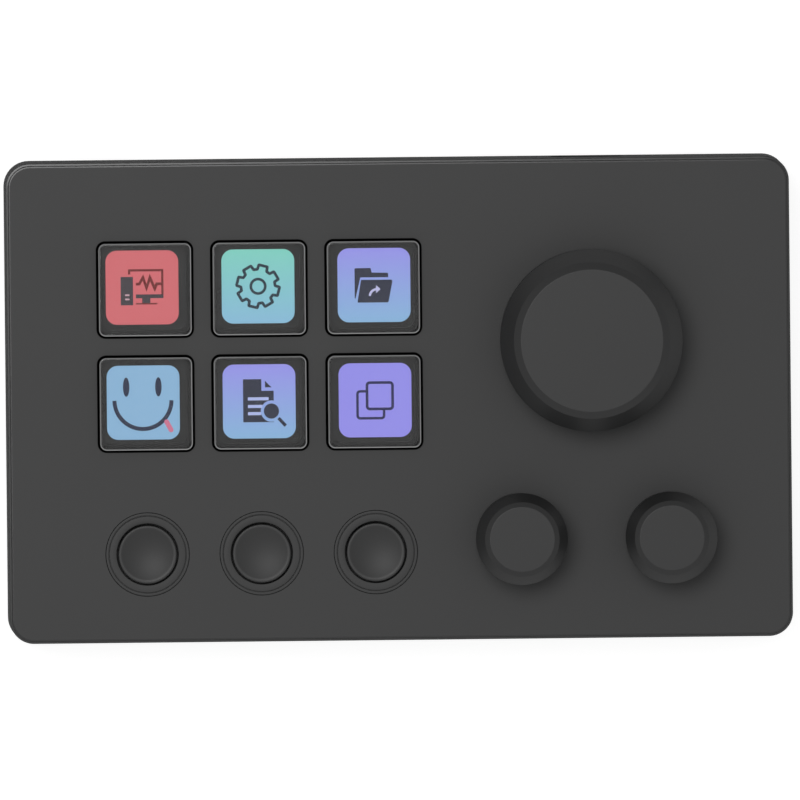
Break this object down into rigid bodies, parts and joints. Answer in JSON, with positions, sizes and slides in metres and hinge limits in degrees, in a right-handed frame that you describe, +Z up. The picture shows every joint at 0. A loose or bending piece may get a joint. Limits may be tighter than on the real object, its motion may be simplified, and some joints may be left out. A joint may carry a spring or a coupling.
{
  "type": "macro keypad with knobs",
  "caption": "Flat desktop macro keypad: clear keys over lit pictures, round dished buttons and bevelled push knobs in a rounded dark case on rubber feet.",
  "frame": {"origin": "on the table, under the middle of the case", "axes": "+X to the user's right, +Y to the rear edge with the USB socket, +Z up out of the face"},
  "size_m": [0.1312, 0.0806, 0.0314],
  "materials": {
    "case_plastic": "fine matt moulded grain, near black",
    "faceplate_plastic": "smooth satin, near black",
    "foot_rubber": "matt black rubber",
    "screw_steel": "blackened steel",
    "board_laminate": "dark solder mask",
    "chip_plastic": "moulded chip body",
    "socket_steel": "stamped sheet steel",
    "black_plastic": "black moulded plastic",
    "backlight_plastic": "clear light guide with white film",
    "screen_glass": "black display glass",
    "flex_film": "amber film",
    "silicone": "black silicone",
    "bezel_plastic": "satin, near black",
    "clear_plastic": "clear polished",
    "button_plastic": "satin, near black",
    "white_plastic": "natural white",
    "spring_steel": "spring steel",
    "cover_steel": "stamped and die-cast",
    "shaft_metal": "turned",
    "knob_plastic": "fine satin, near black"
  },
  "bodies": {
    "housing": {"bottom_shell": "case_plastic", "top_case": "case_plastic", "faceplate": "faceplate_plastic", "rubber_feet": "foot_rubber", "case_screws": "screw_steel", "inner_screws": "screw_steel", "main_board": "board_laminate", "key_contact_board": "board_laminate", "board_components": "chip_plastic", "usb_socket_shell": "socket_steel", "screen_frame": "socket_steel", "usb_socket_tongue": "black_plastic", "screen_bracket": "black_plastic", "screen_backlight": "backlight_plastic", "screen_glass": "screen_glass", "screen_flex": "flex_film", "key_membrane": "silicone", "button_bezels": "bezel_plastic", "key_collar_1": "silicone", "key_collar_2": "silicone", "key_collar_3": "silicone", "key_collar_4": "silicone", "key_collar_5": "silicone", "key_collar_6": "silicone", "switch_dome_left": "spring_steel", "switch_body_left": "black_plastic", "switch_dome_middle": "spring_steel", "switch_body_middle": "black_plastic", "switch_dome_right": "spring_steel", "switch_body_right": "black_plastic", "encoder_base_large": "black_plastic", "encoder_cover_large": "cover_steel", "encoder_dome_large": "spring_steel", "encoder_base_left": "black_plastic", "encoder_cover_left": "cover_steel", "encoder_dome_left": "spring_steel", "encoder_base_right": "black_plastic", "encoder_cover_right": "cover_steel", "encoder_dome_right": "spring_steel"},
    "key_1": {"key_cap_1": "clear_plastic"},
    "key_2": {"key_cap_2": "clear_plastic"},
    "key_3": {"key_cap_3": "clear_plastic"},
    "key_4": {"key_cap_4": "clear_plastic"},
    "key_5": {"key_cap_5": "clear_plastic"},
    "key_6": {"key_cap_6": "clear_plastic"},
    "button_left": {"button_cap_left": "button_plastic", "switch_plunger_left": "white_plastic"},
    "button_middle": {"button_cap_middle": "button_plastic", "switch_plunger_middle": "white_plastic"},
    "button_right": {"button_cap_right": "button_plastic", "switch_plunger_right": "white_plastic"},
    "rotor_large": {"encoder_rotor_large": "white_plastic"},
    "dial_large": {"encoder_shaft_large": "shaft_metal", "knob_large": "knob_plastic"},
    "rotor_left": {"encoder_rotor_left": "white_plastic"},
    "dial_left": {"encoder_shaft_left": "shaft_metal", "knob_left": "knob_plastic"},
    "rotor_right": {"encoder_rotor_right": "white_plastic"},
    "dial_right": {"encoder_shaft_right": "shaft_metal", "knob_right": "knob_plastic"}
  },
  "joints": [
    {"name": "key_1_press", "type": "slide", "parent": "housing", "child": "key_1", "axis": [0, 0, -1], "range_m": [0, 0.001], "stiffness_N_per_m": 250, "springref_m": -0.0015, "deforming": ["key_collar_1"]},
    {"name": "key_2_press", "type": "slide", "parent": "housing", "child": "key_2", "axis": [0, 0, -1], "range_m": [0, 0.001], "stiffness_N_per_m": 250, "springref_m": -0.0015, "deforming": ["key_collar_2"]},
    {"name": "key_3_press", "type": "slide", "parent": "housing", "child": "key_3", "axis": [0, 0, -1], "range_m": [0, 0.001], "stiffness_N_per_m": 250, "springref_m": -0.0015, "deforming": ["key_collar_3"]},
    {"name": "key_4_press", "type": "slide", "parent": "housing", "child": "key_4", "axis": [0, 0, -1], "range_m": [0, 0.001], "stiffness_N_per_m": 250, "springref_m": -0.0015, "deforming": ["key_collar_4"]},
    {"name": "key_5_press", "type": "slide", "parent": "housing", "child": "key_5", "axis": [0, 0, -1], "range_m": [0, 0.001], "stiffness_N_per_m": 250, "springref_m": -0.0015, "deforming": ["key_collar_5"]},
    {"name": "key_6_press", "type": "slide", "parent": "housing", "child": "key_6", "axis": [0, 0, -1], "range_m": [0, 0.001], "stiffness_N_per_m": 250, "springref_m": -0.0015, "deforming": ["key_collar_6"]},
    {"name": "button_left_press", "type": "slide", "parent": "housing", "child": "button_left", "axis": [0, 0, -1], "range_m": [0, 0.0005], "stiffness_N_per_m": 150, "springref_m": -0.003, "deforming": ["switch_dome_left"]},
    {"name": "button_middle_press", "type": "slide", "parent": "housing", "child": "button_middle", "axis": [0, 0, -1], "range_m": [0, 0.0005], "stiffness_N_per_m": 150, "springref_m": -0.003, "deforming": ["switch_dome_middle"]},
    {"name": "button_right_press", "type": "slide", "parent": "housing", "child": "button_right", "axis": [0, 0, -1], "range_m": [0, 0.0005], "stiffness_N_per_m": 150, "springref_m": -0.003, "deforming": ["switch_dome_right"]},
    {"name": "dial_large_turn", "type": "hinge", "parent": "housing", "child": "rotor_large", "pos_m": [0.03185, 0.00988, 0], "axis": [0, 0, -1], "continuous": true},
    {"name": "dial_large_push", "type": "slide", "parent": "rotor_large", "child": "dial_large", "axis": [0, 0, -1], "range_m": [0, 0.0005], "stiffness_N_per_m": 400, "springref_m": -0.004, "deforming": ["encoder_dome_large"]},
    {"name": "dial_left_turn", "type": "hinge", "parent": "housing", "child": "rotor_left", "pos_m": [0.01997, -0.02314, 0], "axis": [0, 0, -1], "continuous": true},
    {"name": "dial_left_push", "type": "slide", "parent": "rotor_left", "child": "dial_left", "axis": [0, 0, -1], "range_m": [0, 0.0005], "stiffness_N_per_m": 400, "springref_m": -0.004, "deforming": ["encoder_dome_left"]},
    {"name": "dial_right_turn", "type": "hinge", "parent": "housing", "child": "rotor_right", "pos_m": [0.04493, -0.02314, 0], "axis": [0, 0, -1], "continuous": true},
    {"name": "dial_right_push", "type": "slide", "parent": "rotor_right", "child": "dial_right", "axis": [0, 0, -1], "range_m": [0, 0.0005], "stiffness_N_per_m": 400, "springref_m": -0.004, "deforming": ["encoder_dome_right"]}
  ]
}
